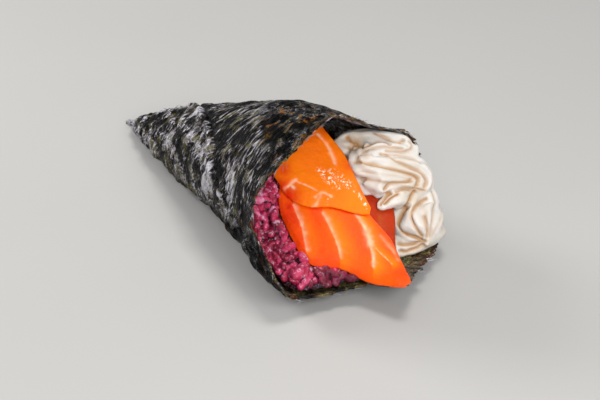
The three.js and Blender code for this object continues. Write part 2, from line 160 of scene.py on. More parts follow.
def raiseTo(vert, layer, value):
    vert[layer] = max(vert[layer], value)


# The vertices of a mesh as a tree to search in
def vertTree(bm):
    bm.verts.ensure_lookup_table()
    tree = KDTree(len(bm.verts))
    for vert in bm.verts:
        tree.insert(vert.co, vert.index)
    tree.balance()
    return tree


# For each vertex within reach of a line: how far off it is, and from which point of the line
def nearLine(tree, line, reach):
    found = {}
    for spot in line:
        for co, index, distance in tree.find_range(spot, reach):
            if index not in found or distance < found[index][0]:
                found[index] = (distance, spot)
    return found


# Raises an attribute near a line, most on the line itself
def markNear(bm, tree, layer, line, reach, width, strength=1):
    for index, (distance, spot) in nearLine(tree, line, reach).items():
        raiseTo(bm.verts[index], layer, strength * bell(distance, width))


def relax(bm, times, factor=0.5):
    for i in range(times):
        bmesh.ops.smooth_vert(bm, verts=bm.verts, factor=factor,
                              use_axis_x=True, use_axis_y=True, use_axis_z=True)
    bm.normal_update()


# Materials

def newMaterial(name):
    material = bpy.data.materials.new(name)
    material.use_nodes = True
    return material, material.node_tree, material.node_tree.nodes["Principled BSDF"]


def connect(tree, value, socket):
    if isinstance(value, bpy.types.NodeSocket):
        tree.links.new(value, socket)
    else:
        socket.default_value = value


def addNode(tree, kind, inputs=None, **settings):
    node = tree.nodes.new("ShaderNode" + kind)
    for key, value in settings.items():
        setattr(node, key, value)
    for key, value in (inputs or {}).items():
        connect(tree, value, node.inputs[key])
    return node


# Sockets by their names, with _ for a space, each with a plain value or a node's output
def setShader(tree, shader, **sockets):
    for key, value in sockets.items():
        connect(tree, value, shader.inputs[key.replace("_", " ")])


def objectPlace(tree, stretch=(1, 1, 1)):
    place = addNode(tree, "TexCoord").outputs["Object"]
    return addNode(tree, "Mapping", {"Vector": place, "Scale": stretch}).outputs[0]


def noiseOf(tree, place, scale, detail, rough=0.55, distortion=0.0):
    sockets = {"Vector": place, "Scale": scale, "Detail": detail, "Roughness": rough,
               "Distortion": distortion}
    return addNode(tree, "TexNoise", sockets).outputs["Fac"]


def attributeOf(tree, name):
    return addNode(tree, "Attribute", attribute_name=name).outputs["Fac"]


def sumOf(tree, operation, a, b=0.0, clamped=False):
    node = addNode(tree, "Math", {0: a, 1: b}, operation=operation)
    node.use_clamp = clamped
    return node.outputs[0]


def rangeOf(tree, value, low, high, to0=0.0, to1=1.0):
    sockets = {"Value": value, "From Min": low, "From Max": high, "To Min": to0, "To Max": to1}
    return addNode(tree, "MapRange", sockets, clamp=True).outputs[0]


def mixOf(tree, share, a, b, blend="MIX"):
    node = addNode(tree, "Mix", {0: share, 6: a, 7: b}, data_type="RGBA", blend_type=blend)
    return node.outputs[2]


def rampOf(tree, value, places, colours):
    node = addNode(tree, "ValToRGB", {"Fac": value})
    ramp = node.color_ramp
    while len(ramp.elements) < len(places):
        ramp.elements.new(0.5)
    for element, place, colour in zip(ramp.elements, places, colours):
        element.position = place
        element.color = colour
    return node.outputs["Color"]


def bumpOf(tree, height, distance, under=None):
    sockets = {"Height": height, "Distance": distance}
    if under:
        sockets["Normal"] = under
    return addNode(tree, "Bump", sockets).outputs[0]


# The rolled sheet of nori

nori = {
    "tipRadius": 0.9,
    "mouthAt": 120,  # so far from the tip the section has these halves
    "halfWidth": 31.5,
    "halfHeight": 27,
    "widthPower": 0.88,
    "heightPower": 0.85,
    # of the underside: how square it is at the tip and at the mouth, from where, over how far
    "squareness": (2.5, 5, 85, 45),
    "rise": (112, 0.3, 8),  # and how it rises at the mouth: from where, how steep and how soft
    "sag": (8.6, 80, 36, 4, 108),  # how far the mouth's far top hangs down, and from where to where
    "pressed": 0.45,  # how far the underside is flattened by what it lies on
    "wall": 0.5,
    "flap": 0.62,  # how far the free edge stands off
    "lap": 9,  # degrees that the sheet goes on under its own free edge
    "nib": (0.8, 3.0, 4.5, 1.4),  # the twisted end: radius, length, run out and how far it juts
    "columns": 224,
    "rows": 196,
    "dents": 0.42,
    "wrinkles": 1.6,
    "streaks": 0.4,
    "lumps": 1.5,  # on top beside the mouth
    "lip": 0.7,  # the crumpled layer stands up beside the free edge
    "fold": 0.4,  # a furrow beside that
    "flare": 0.25,
    "ragged": 2.0,
    # the size of each relief along the cone and across it
    "bendSize": (12, 12),
    "lumpSize": (4.6, 8.5),
    "smallSize": (2.5, 5),
    "streakSize": (2.3, 16),
    "fineSize": (1.3, 8),
    # the far edge as degrees round the section and millimetres from the tip
    "rim": [(0, 115), (22, 113.5), (45, 112), (70, 114), (90, 118), (112, 122.5), (128, 123),
            (150, 119.5), (166, 114.5), (186, 113.5), (198, 121), (210, 129), (229, 132),
            (246, 134.5), (259, 138.5), (267, 150), (284, 142), (302, 134.5), (315, 128),
            (335, 119), (360, 115)],
    # where the free edge crosses the outside, from the tip to the mouth
    "freeEdge": [(0, -20), (0.2, 20), (0.34, 75), (0.457, 111), (0.557, 129), (0.64, 144),
                 (0.7, 157), (0.765, 170), (0.81, 177), (0.9, 200), (1, 229)],
    # the painted sheen that greys the outside gives way to near black here
    "darkFrom": [(0, 92), (60, 74), (96, 80), (116, 92), (128, 100), (138, 106), (150, 115),
                 (176, 121), (186, 112), (196, 98), (204, 84), (212, 60), (224, 30), (270, 20),
                 (320, 40), (360, 92)],
    # how many fibres go into 100 mm along the cone and across it, and how curly they are
    "uvSpan": 100,
    "longFibres": (34, 105, 0.8),
    "shortFibres": (58, 80, 1.2),
    "curlyFibres": (52, 76, 2.4),
    # noises in space: scale, detail and roughness
    "patch": (75, 2, 0.5),
    "wide": (150, 3, 0.55),
    "spots": (300, 4, 0.65),
    # where the colour turns from black to shade, then to painted sheen and painted glints
    "crumpledTones": (0.468, 0.503, 0.545, 0.6),
    "streakedTones": (0.472, 0.505, 0.538, 0.59),
    "roughness": (0.4, 0.2),
    "shine": (0.08, 0.03, 0.5),  # of the grey side, of the dark side, and more on the inside
    "bump": (0.0012, 0.0014, 0.0012),
    "colours": {
        # the next two are painted sheen and painted glints on the dark sheet
        "paintedSheen": srgb(130, 124, 128),
        "pale": srgb(214, 210, 218),
        "shade": srgb(40, 34, 30),
        "black": srgb(6, 5, 4),
        "brown": srgb(88, 46, 14),
        "olive": srgb(104, 98, 50),
        "moss": srgb(92, 86, 24),
        "paintedAmberGlint": srgb(150, 92, 30),
        "green": srgb(48, 70, 16),
        "rim": srgb(150, 134, 84),
    },
}


def rimAt(degrees):
    return along(nori["rim"], degrees % 360)


# A point of the cone's smooth skin, t from its tip, at an angle round its section
def skin(t, degrees):
    share = max(t, 0) / nori["mouthAt"]
    a = nori["halfWidth"] * share ** nori["widthPower"] + nori["tipRadius"]
    b = nori["halfHeight"] * share ** nori["heightPower"] + nori["tipRadius"]
    c, s = math.cos(math.radians(degrees)), math.sin(math.radians(degrees))
    atTip, atMouth, start, over = nori["squareness"]
    power = 2 if s > 0 else mix(atTip, atMouth, smooth((t - start) / over))
    k = (abs(c) ** power + abs(s) ** power) ** (-1 / power)
    start, steep, soft = nori["rise"]
    past = max(0, t - start)
    base = steep * past ** 1.5 / math.sqrt(soft + past) if s < 0 else 0
    drop, start, over, angle, across = nori["sag"]
    turn = clamp(((degrees - angle) % 360) / across)
    sagged = drop * smooth((t - start) / over) * math.sin(math.pi * turn) ** 2
    return Vector((t, a * c * k, base + (b - base) * (1 + s * k) - sagged))


def outward(t, degrees):
    lengthways = skin(t + 0.5, degrees) - skin(max(t - 0.5, 0), degrees)
    around = skin(t, degrees + 1) - skin(t, degrees - 1)
    return around.cross(lengthways).normalized()


# Shallow dents, deeper near the tip: two waves that cross and a wider one
def dents(t, degrees):
    d = math.radians(degrees)
    fold = math.sin(9 * d + 0.336 * t) * math.sin(0.16 * t - 2 * d)
    wide = math.sin(3 * d - 0.112 * t + 1)
    nearTip = 1 + 0.8 * (1 - smooth(t / 60))
    return nori["dents"] * nearTip * smooth(t / 14) * (0.7 * fold + 0.5 * wide)


# How far along the cone the free edge crosses this angle; under the cone it runs back to the tip
def seamAt(degrees):
    mouthEnd, runBack = nori["freeEdge"][-1][1], 80
    turned = (degrees + 20) % 360 - 20
    if turned > mouthEnd:
        return mix(rimAt(mouthEnd), 0, smooth((turned - mouthEnd) / runBack))
    return along([(angle, share) for share, angle in nori["freeEdge"]], turned) * rimAt(turned)


# 1 on the crumpled tip side of the free edge, 0 on the smooth mouth side
def tipSideOf(past):
    return 1 - smooth(past / 1.6 + 1.0)


# 1 on the far top by the mouth
def mouthTop(t, degrees, start, spread):
    return smooth((t - start) / 12) * bell(((degrees + 90) % 360) - 90 - 100, spread)


# How far the torn rim goes in and out
def rag(degrees):
    return waver(degrees / 3.1, 1, 4) + 0.7 * waver(degrees / 1.2, 8, 2)


# Noise on the skin, shifted so that no two reliefs are the same
def skinNoise(t, spot, size, shift=(0, 0, 0)):
    lengthways, across = nori[size]
    return waver(t / lengthways + shift[0], spot.y / across + shift[1], spot.z / across + shift[2])


# Folds of the dried sheet: lumps with sharp creases on the crumpled tip side of the free
# edge, and fine streaks round the cone on the mouth side of it
def relief(t, degrees, spot, past):
    bent = skinNoise(t, spot, "bendSize", (0, 0, 3)) * 5
    lump = abs(skinNoise(t + bent, spot, "lumpSize"))
    small = abs(skinNoise(t - bent, spot, "smallSize", (0, 9, 0)))
    folds = lump + 0.55 * small
    crumpled = nori["wrinkles"] * (folds - 0.34)
    long = skinNoise(t, spot, "streakSize", (0, 0, 5))
    fine = skinNoise(t, spot, "fineSize", (3, 0, 0))
    streaked = nori["streaks"] * (long + 0.8 * fine)
    gape = 0.8 + 0.5 * waver(degrees / 9, 3, 7)  # the step at the edge is wider in places
    lip = nori["lip"] * (bell(past + 4.2, 2.2) - gape * bell(past + 1.0, 1.1))
    fold = -nori["fold"] * bell(past - 2.6 - 1.5 * gape, 0.8) * smooth((degrees - 140) / 20)
    lumpy = nori["lumps"] * mouthTop(t, degrees, 86, 34) * (lump + 0.5 * small - 0.3)
    nearRim = 1 - 0.6 * smooth((t - rimAt(degrees) + 8) / 8)
    smoothSide = (streaked + lumpy) * nearRim + fold
    lift = mix(smoothSide, crumpled, tipSideOf(past)) + lip * smooth(t / 30)
    return smooth((t - 1) / 16) * lift, clamp(folds / 0.75)


# The grid is rolled up: x runs round the cone, y from the tip to the mouth
def rollSheet(bm, layers):
    uv = bm.loops.layers.uv.new("sheet")
    flat = {}
    for vert in bm.verts:
        share, s = vert.co.x + 0.5, (vert.co.y + 0.5) ** 1.1
        settle = 0.85 * math.sin(math.pi * share) ** 2
        degrees = mix(along(nori["freeEdge"], s), 180, settle) - (360 + nori["lap"]) * share
        t = s * rimAt(degrees)
        offset = nori["flap"] * (1 - share) * smooth(s / 0.3 + 0.12)
        vert.co = skin(t, degrees) + outward(t, degrees) * offset
        vert[layers["t"]], vert[layers["degrees"]], vert[layers["offset"]] = t, degrees, offset
        radius = 0.5 * (abs(skin(t, 0).y) + skin(t, 90).z / 2)
        flat[vert.index] = Vector((radius * math.radians(degrees + 400), t)) / nori["uvSpan"]
    for face in bm.faces:
        for loop in face.loops:
            loop[uv].uv = flat[loop.vert.index]
    bm.normal_update()


# The tip is twisted into a thin nib
def pinch(point, t):
    thin, length, over, reach = nori["nib"]
    halfHeight = skin(t, 90).z / 2
    middle = Vector((point.x, 0, halfHeight))
    point = middle + (point - middle) * mix(thin / halfHeight, 1, smooth((t - length) / over))
    point.x -= reach * (1 - smooth(t / (length + over)))
    return point


# Both sides of the sheet get the same folds, so that it keeps its thickness
def crumpleSheet(bm, layers):
    for vert in bm.verts:
        t, degrees = vert[layers["t"]], vert[layers["degrees"]]
        spot, out, rim = skin(t, degrees), outward(t, degrees), rimAt(degrees)
        past = t - seamAt(degrees)
        lift, height = relief(t, degrees, spot, past)
        inner = (vert.co - spot).dot(out) < vert[layers["offset"]] - nori["wall"] / 2
        flare = nori["flare"] * smooth((t - rim + 1.5) / 1.5)
        torn = nori["ragged"] * (rag(degrees) - 0.4) * smooth((t / rim - 0.95) / 0.05)
        point = vert.co + skin(t + torn, degrees) - spot + out * (dents(t, degrees) + lift + flare)
        point = pinch(point, t)
        point.z = max(point.z - nori["pressed"], nori["wall"] if inner else 0)
        vert.co = point + coneTip
        marks = {
            "inside": inner,
            "height": height,
            "tipSide": tipSideOf(past),
            "nib": 1 - smooth((t - 3) / 4),
            "lumpy": mouthTop(t, degrees, 84, 36),
            "seamShadow": bell(past + 0.1, 1.5) * smooth(t / 25),
            "low": smooth((12 - point.z) / 9) * smooth((t - 20) / 20),
            "dark": smooth((t - along(nori["darkFrom"], degrees % 360)) / 14 + 0.5),
            "edge": smooth((t - rim + 2.2 - 1.5 * rag(degrees)) / 1.6),
        }
        for name, value in marks.items():
            vert[layers[name]] = value


def makeNoriSheet():
    bm = bmesh.new()
    bmesh.ops.create_grid(bm, x_segments=nori["columns"], y_segments=nori["rows"], size=0.5)
    layers = addLayers(bm, "t", "degrees", "offset", "inside", "height", "tipSide", "nib", "lumpy",
                       "seamShadow", "low", "dark", "edge")
    rollSheet(bm, layers)
    bmesh.ops.solidify(bm, geom=bm.faces[:], thickness=-nori["wall"])
    bmesh.ops.recalc_face_normals(bm, faces=bm.faces)
    crumpleSheet(bm, layers)
    finishPiece(bm, "noriSheet", noriMaterial(), "nori_sheet")


def noriMaterial():
    look = nori["colours"]
    material, tree, shader = newMaterial("driedSeaweed")
    flat = addNode(tree, "UVMap", uv_map="sheet").outputs[0]
    place = objectPlace(tree)

    # Noise drawn out along the sheet
    def fibres(lengthwise, across, curl):
        stretch = addNode(tree, "Mapping", {"Vector": flat, "Scale": (lengthwise, across, 1)})
        return noiseOf(tree, stretch.outputs[0], 1.0, 2, 0.62, curl)

    def step(value, low, high, to0=0.0, to1=1.0):
        return rangeOf(tree, value, low, high, to0, to1)

    def both(a, b):
        return sumOf(tree, "MULTIPLY", a, b)

    def total(a, b, clamped=False):
        return sumOf(tree, "ADD", a, b, clamped)

    def shares(a, part, b):
        return total(both(a, part), both(b, 1 - part))

    def tones(value, places):
        colours = [look[name] for name in ("black", "shade", "paintedSheen", "pale")]
        return rampOf(tree, value, places, colours)

    # One colour over another, where the mask is 1
    def over(under, mask, top):
        return mixOf(tree, mask, under, look[top] if isinstance(top, str) else top)

    long = fibres(*nori["longFibres"])
    short = fibres(*nori["shortFibres"])
    curly = fibres(*nori["curlyFibres"])
    patch, wide, spots = [noiseOf(tree, place, *nori[name]) for name in ("patch", "wide", "spots")]
    names = ("tipSide", "dark", "edge", "inside", "lumpy", "height", "nib", "low", "seamShadow")
    tipSide, dark, edge, inside, lumpy, height, nib, low, seamShadow = [attributeOf(tree, name)
                                                                  for name in names]

    # painted highlights on the folds and painted shade between them on the crumpled side, lighter
    # still on the nib, and painted sheen in streaks on the smooth one
    swing = step(patch, 0.36, 0.62, -0.045, 0.03)
    level = total(both(shares(short, 0.6, wide), 0.86), both(height, 0.2))
    crumpled = tones(total(total(level, both(nib, 0.16)), swing), nori["crumpledTones"])
    dimmed = sumOf(tree, "SUBTRACT", swing, 0.01)
    streaked = tones(total(shares(long, 0.66, wide), dimmed), nori["streakedTones"])
    colour = over(streaked, tipSide, crumpled)
    yellow = both(step(spots, 0.5, 0.62), step(wide, 0.48, 0.6, 0, 0.85))
    yellow = total(yellow, both(step(spots, 0.46, 0.56), low), True)
    colour = over(colour, yellow, "olive")
    # painted shade low down on the cone
    colour = over(colour, both(low, step(short, 0.62, 0.5)), "black")

    # near black by the mouth, with tinted spots, painted glints along fine threads where a noise
    # crosses its middle, and painted amber glints on the lumps
    tinted = over(look["brown"], step(patch, 0.45, 0.58), "moss")
    tinted = over(tinted, step(wide, 0.54, 0.62), "green")
    murky = over(look["black"], both(step(spots, 0.52, 0.62), step(lumpy, 0, 1, 0.35, 1)), tinted)
    offMiddle = sumOf(tree, "ABSOLUTE", sumOf(tree, "SUBTRACT", curly, 0.5))
    threads = both(step(offMiddle, 0.026, 0.0065), step(wide, 0.47, 0.6))
    murky = over(murky, both(threads, step(spots, 0.42, 0.54)), "pale")
    murky = over(murky, both(step(spots, 0.58, 0.64), lumpy), "paintedAmberGlint")
    colour = over(colour, dark, murky)

    # the inside: black with tinted spots and painted glints, olive low down
    lining = over(look["black"], step(wide, 0.42, 0.6), tinted)
    paintedGleam = over(look["pale"], step(low, 0, 0.6), "rim")
    lining = over(lining, both(step(short, 0.48, 0.54), step(spots, 0.42, 0.5)), paintedGleam)
    colour = over(colour, inside, lining)
    # painted shadow along the free edge of the sheet
    colour = over(colour, seamShadow, "black")
    torn = over(look["black"], both(step(short, 0.46, 0.6), step(wide, 0.44, 0.56)), "rim")
    torn = over(torn, step(spots, 0.5, 0.58), "brown")
    colour = over(colour, edge, torn)

    greyShine, darkShine, insideShine = nori["shine"]
    shine = total(step(dark, 0, 1, greyShine, darkShine), both(inside, insideShine))
    bump = None
    for fibre, depth in zip((long, short, curly), nori["bump"]):
        bump = bumpOf(tree, fibre, depth, bump)
    setShader(tree, shader, Base_Color=colour, Specular_IOR_Level=shine, Normal=bump,
              Roughness=step(shares(short, 0.5, spots), 0.42, 0.6, *nori["roughness"]))
    return material


# Loose fibres that stand out of the torn rim

looseFibres = {
    "count": 220,
    "length": (1.2, 4.5),
    "radius": (0.04, 0.09),
    "behindRim": (0.3, 1.2),
    "bend": 0.3,
    "sides": 4,
    "lowest": (0.4, 0.25),  # of a fibre's root and of the rest of it
    "seed": 5,
}


# A closed tube with a ring of sides at each point
def sweepLine(bm, points, radii, sides):
    def placeOf(i):
        ahead = points[min(i + 1, len(points) - 1)] - points[max(i - 1, 0)]
        turn = ahead.to_track_quat("Z", "Y").to_matrix().to_4x4()
        return Matrix.Translation(points[i]) @ turn @ Matrix.Scale(radii[i], 4)

    ring = bmesh.ops.create_circle(bm, cap_ends=False, segments=sides, radius=1)["verts"]
    edges = list(dict.fromkeys(edge for vert in ring for edge in vert.link_edges))
    bmesh.ops.transform(bm, matrix=placeOf(0), verts=ring)
    bmesh.ops.edgeloop_fill(bm, edges=edges)
    for i in range(1, len(points)):
        made = bmesh.ops.extrude_edge_only(bm, edges=edges)["geom"]
        verts = [item for item in made if isinstance(item, bmesh.types.BMVert)]
        edges = [item for item in made if isinstance(item, bmesh.types.BMEdge)]
        edges = [edge for edge in edges if all(vert in verts for vert in edge.verts)]
        bmesh.ops.transform(bm, matrix=placeOf(i) @ placeOf(i - 1).inverted(), verts=verts)
    bmesh.ops.edgeloop_fill(bm, edges=edges)


def makeNoriFibres():
    shape = looseFibres
    draw = random.Random(shape["seed"])
    shares = (0, 0.25, 0.5, 0.75, 1)  # the places of the rings along a fibre
    lowestRoot, lowest = shape["lowest"]
    bm = bmesh.new()
    for i in range(shape["count"]):
        degrees = draw.uniform(0, 360)
        t = rimAt(degrees) - draw.uniform(*shape["behindRim"])
        out = outward(t, degrees)
        start = skin(t, degrees) + out * draw.uniform(0.0, 0.5)
        start.z = max(start.z - nori["pressed"], lowestRoot)
        ahead = (skin(t, degrees) - skin(t - 2, degrees)).normalized()
        aside = (skin(t, degrees + 2) - skin(t, degrees - 2)).normalized() * draw.choice((-1, 1))
        way = ahead * draw.uniform(0.1, 1) + aside * draw.uniform(0.4, 1.6)
        way = (way + out * draw.uniform(-0.1, 0.35)).normalized()
        bend = Vector([draw.uniform(-1, 1) for axis in range(3)])
        length = draw.uniform(*shape["length"]) * draw.uniform(0.5, 1)
        points = [start + way * length * s + bend * length * shape["bend"] * s * s for s in shares]
        for point in points:
            point.z = max(point.z, lowest)
        radius = draw.uniform(*shape["radius"])
        radii = [radius * (1.15 - s) for s in shares]
        sweepLine(bm, [point + coneTip for point in points], radii, shape["sides"])
    bmesh.ops.recalc_face_normals(bm, faces=bm.faces)
    finishPiece(bm, "noriFibres", fibreMaterial(), "nori_sheet")


def fibreMaterial():
    material, tree, shader = newMaterial("seaweedFibre")
    # olive fibres, with painted sheen and painted glints
    colours = [nori["colours"][name] for name in ("olive", "paintedSheen", "pale")]
    colour = rampOf(tree, noiseOf(tree, objectPlace(tree), 240, 2), (0.38, 0.5, 0.62), colours)
    setShader(tree, shader, Base_Color=colour, Roughness=0.5)
    return material


# The slices of salmon

# What the three slices share
salmonFlesh = {
    "voxel": 0.34,
    "relax": 2,
    "fatReach": 7,
    "fadeSide": (0.62, 0.79, 0),  # on this side a line of fat fades and the gold begins
    "groove": (0.15, 0.6),  # depth and width, along a line of fat
    # how much a line of fat varies, and over what size: its width, its strength and its edge
    "wobble": [(0.45, 1.3)],
    "patches": [(0.6, 1.7)],
    "fray": [(0.22, 1.1)],
    "swells": [(0.14, 4.5), (0.05, 1.5)],  # height and size of the bumps
    "beads": (0.35, 0.6),  # height and size of the wet drops
    "bump": (0.0004, 0.00015, 0.0009),  # of the flesh, of its skin and of the wet film on it
    "colours": {
        "flesh": srgb(254, 70, 4),
        "gold": srgb(255, 130, 2),
        "pink": srgb(252, 76, 22),
        "red": srgb(226, 20, 4),
        "fat": srgb(255, 196, 160),
        "paintedGlint": srgb(255, 236, 215),
    },
}

# A line of fat is its half widths on the sharp side and on the fading side, how far the golden
# glow beside it reaches, how strong it is, how red the flesh is on the sharp side, and its
# points. A red spot is a point, its size and its strength: redder flesh, and painted shadow
# along the lower edge of the top slice. A wet stripe, where drops are raised and painted glints
# go, is a width and points.
salmonShape = {
    "salmon_slice_top": {
        "name": "salmonTop",
        "material": "rawSalmon",
        "paintedShadeLevel": 1.0,
        "gold": 0.8,
        "wet": [
            (1.3, [(34.7, -1.2, 30.4), (37.3, -1.0, 29.1), (39.6, -0.5, 27.9), (41.3, 0.0, 27.1)]),
            (1.5, [(37.2, 1.4, 29.6), (39.4, 2.3, 28.9), (41.6, 3.2, 27.9), (43.2, 3.5, 27.1)]),
            (0.7, [(44.3, 3.7, 26.5), (46.5, 4.2, 25.2), (48.8, 4.3, 23.8), (50.4, 4.5, 22.5)]),
            (0.6, [(42.4, -4.2, 25.4), (42.6, -4.9, 24.6), (43.6, -5.2, 23.8)]),
        ],
        "redFleshAndShadow": [
            # the first spot is painted shadow along the slice's lower edge
            ((33.4, -12.3, 24.8), 4.0, 1.0), ((30.5, -12.4, 26.8), 3.2, 0.9),
            ((28.2, -9.8, 30.5), 2.6, 0.75), ((25.8, 7.8, 37.1), 2.6, 0.45),
            ((38, 7.4, 30.5), 2.2, 0.45), ((45.2, 7.2, 25.6), 1.6, 0.45),
        ],
        "fat": [
            (0.32, 0.42, 1.5, 0.85, 0.1,
             [(25.7, 4.8, 36.9), (27.7, 5.1, 35.9), (29.9, 5.3, 34.7), (32.2, 5.0, 33.4)]),
            (0.55, 0.6, 2, 0.8, 0,
             [(31.4, 5.1, 33.8), (32.6, 4.8, 33.1), (34.0, 4.4, 32.3), (35.4, 3.9, 31.4)]),
            (0.55, 0.4, 2, 0.85, 0,
             [(31.9, -11.9, 26.7), (32.4, -10.4, 27.7), (32.7, -8.7, 28.7)]),
            (0.45, 0.45, 1, 0.8, 0,
             [(32.5, -10.5, 27.5), (33.8, -10.2, 27.0)]),
            (0.22, 0.26, 2, 0.65, 0,
             [(33.2, -8.7, 28.4), (35.6, -7.3, 27.8), (37.4, -6.3, 27.2), (39.0, -5.5, 26.6)]),
            (0.45, 0.42, 1.5, 0.9, 0,
             [(39.7, -6.7, 25.4), (39.7, -5.6, 26.0), (40.3, -4.1, 26.2), (42.2, -3.0, 25.5)]),
            (0.5, 0.4, 1.5, 0.75, 0,
             [(39.9, -4.9, 26.2), (40.7, -6.3, 25.0), (41.2, -7.5, 23.8), (41.0, -8.6, 23.2)]),
        ],
    },
    "salmon_slice_front": {
        "name": "salmonFront",
        "material": "rawSalmonFront",
        "paintedShadeLevel": 1.0,
        "gold": 0.1,
        "wet": [],
        "redFleshAndShadow": [
            ((36.5, -14.4, 19.8), 4.5, 0.8), ((43.2, -15.6, 14.6), 4, 0.5),
            # the first spot on this line is painted shadow under the edge of the top slice
            ((35.5, -13.5, 22.5), 2.6, 1.0), ((71.7, 0.6, 12.1), 2.6, 0.45),
            ((53.5, -11.5, 12.6), 2.6, 0.3), ((39, -12, 22), 2, 0.4),
        ],
        "fat": [
            (0.2, 0.85, 3.4, 0.9, 0.5,
             [(35.6, -12.0, 22.6), (38.1, -12.6, 20.9), (40.8, -13.2, 18.9), (42.8, -14.0, 17.1),
              (44.6, -14.7, 15.4), (46.2, -15.4, 13.7)]),
            (0.2, 0.75, 4.6, 0.75, 0.25,
             [(43.2, -7.0, 21.6), (45.1, -7.1, 20.4), (48.0, -7.6, 18.6), (50.7, -8.2, 16.9),
              (53.2, -8.9, 15.0), (54.9, -9.7, 13.3)]),
            (0.4, 0.7, 3.5, 0.95, 0.1,
             [(48.9, 1.0, 21.0), (51.7, 0.9, 19.6), (54.3, 0.6, 18.1), (56.4, -0.3, 16.7),
              (58.6, -1.3, 15.4), (61.2, -2.4, 14.0), (63.6, -4.3, 12.3)]),
            (0.9, 1.0, 3.5, 0.95, 0,
             [(54.7, 0.6, 17.9), (56.6, -0.1, 16.7), (58.4, -1.0, 15.6)]),
            (0.14, 0.16, 2, 0.85, 0,
             [(60.1, -0.3, 15.0), (62.6, -0.1, 14.1), (65.0, 0.2, 13.1), (66.9, 0.1, 12.7)]),
            (0.5, 0.7, 1.5, 0.3, 0,
             [(57.9, 3.4, 16.8), (60.7, 3.4, 15.3), (63.3, 3.6, 14.1), (66.7, 2.6, 13.0)]),
        ],
    },
    "salmon_slice_under": {
        "name": "salmonUnder",
        "material": "rawSalmonPaintedShade",
        # the whole slice darkened to this share as painted shade
        "paintedShadeLevel": 0.42,
        "gold": 0.1,
        "wet": [],
        "redFleshAndShadow": [((46, 12, 20), 4, 0.4)],
        "fat": [
            (0.4, 1.5, 3, 0.2, 0,
             [(44, 12, 20), (50, 9, 18), (56, 5, 15)]),
        ],
    },
}


def makeSalmon(node):
    shape, flesh = salmonShape[node], salmonFlesh
    bm = evenMesh(nodeMesh(node), flesh["voxel"])
    relax(bm, flesh["relax"])
    layers = addLayers(bm, "fat", "gold", "red", "wet", "groove")
    tree = vertTree(bm)
    fadeSide = Vector(flesh["fadeSide"]).normalized()
    grooveDepth, grooveWidth = flesh["groove"]
    beadHeight, beadSize = flesh["beads"]
    for sharp, fading, glow, strength, redness, points in shape["fat"]:
        near = nearLine(tree, smoothLine(points), flesh["fatReach"])
        for index, (distance, spot) in near.items():
            vert = bm.verts[index]
            side = (vert.co - spot).dot(fadeSide)
            width = mix(sharp, fading, smooth(side / 0.5 + 0.5))
            width *= 1 + bumpsAt(vert.co, flesh["wobble"])
            patchy = strength * (0.85 + bumpsAt(vert.co, flesh["patches"]))
            frayed = max(0, distance + bumpsAt(vert.co, flesh["fray"]))
            raiseTo(vert, layers["fat"], patchy * bell(frayed, width))
            if side > 0:
                raiseTo(vert, layers["gold"], strength * bell(distance, glow))
            else:
                red = redness * smooth((distance - 0.5) / 2) * bell(distance, 6)
                raiseTo(vert, layers["red"], red)
            raiseTo(vert, layers["groove"], bell(distance, grooveWidth))
    for width, points in shape["wet"]:
        markNear(bm, tree, layers["wet"], smoothLine(points), 4, width)
    for point, size, strength in shape["redFleshAndShadow"]:
        markNear(bm, tree, layers["red"], [Vector(point)], size * 2, size, strength)
    for vert in bm.verts:
        raiseTo(vert, layers["gold"], shape["gold"])
        drop = max(0, noise.noise(vert.co / beadSize) - 0.1)
        lift = bumpsAt(vert.co, flesh["swells"]) + beadHeight * vert[layers["wet"]] * drop
        vert.co += vert.normal * (lift - grooveDepth * vert[layers["groove"]] - 0.05)
    bm.normal_update()
    finishPiece(bm, shape["name"], salmonMaterial(shape), node)


def salmonMaterial(shape):
    look = salmonFlesh["colours"]
    material, tree, shader = newMaterial(shape["material"])
    place = objectPlace(tree)
    cloud = noiseOf(tree, place, 80, 2, 0.5)
    grain = noiseOf(tree, objectPlace(tree, (1, 1.6, 1)), 900, 4, 0.6)
    drops = noiseOf(tree, place, 1150, 2, 0.5, 1.2)
    film = noiseOf(tree, place, 900, 4, 0.65)
    uneven = noiseOf(tree, place, 320, 3, 0.6)
    gold, red, fat, wet = [attributeOf(tree, name) for name in ("gold", "red", "fat", "wet")]
    golden = sumOf(tree, "ADD", gold, rangeOf(tree, cloud, 0.35, 0.65, 0.12, -0.12), True)
    # painted glints: pale spots on the wet film
    beads = sumOf(tree, "MULTIPLY", rangeOf(tree, drops, 0.54, 0.62),
                  rangeOf(tree, wet, 0.2, 0.85))
    colour = look["flesh"]
    for mask, name in ((rangeOf(tree, cloud, 0.38, 0.62), "pink"), (golden, "gold"), (red, "red"),
                       (rangeOf(tree, grain, 0.35, 0.75, 0.0, 0.18), "gold"), (fat, "fat"),
                       (beads, "paintedGlint")):
        colour = mixOf(tree, mask, colour, look[name])
    # the under slice is a shaded copy of the flesh: its colour darkened as painted shade
    level = shape["paintedShadeLevel"]
    if level < 1:
        colour = mixOf(tree, 1.0, colour, (level, level * 0.7, level * 0.12, 1), "MULTIPLY")
    fleshBump, skinBump, filmBump = salmonFlesh["bump"]
    under = bumpOf(tree, uneven, fleshBump)
    setShader(tree, shader, Base_Color=colour,
              Roughness=rangeOf(tree, film, 0.3, 0.7, 0.6, 0.45),
              Normal=bumpOf(tree, film, skinBump, under),
              Coat_Normal=bumpOf(tree, film, filmBump, under),
              Coat_Weight=0.22, Coat_Roughness=0.05, Specular_IOR_Level=0.1,
              Subsurface_Weight=0.1, Subsurface_Scale=0.0016, Subsurface_Radius=(1, 0.35, 0.1))
    return material


# The piped cream cheese

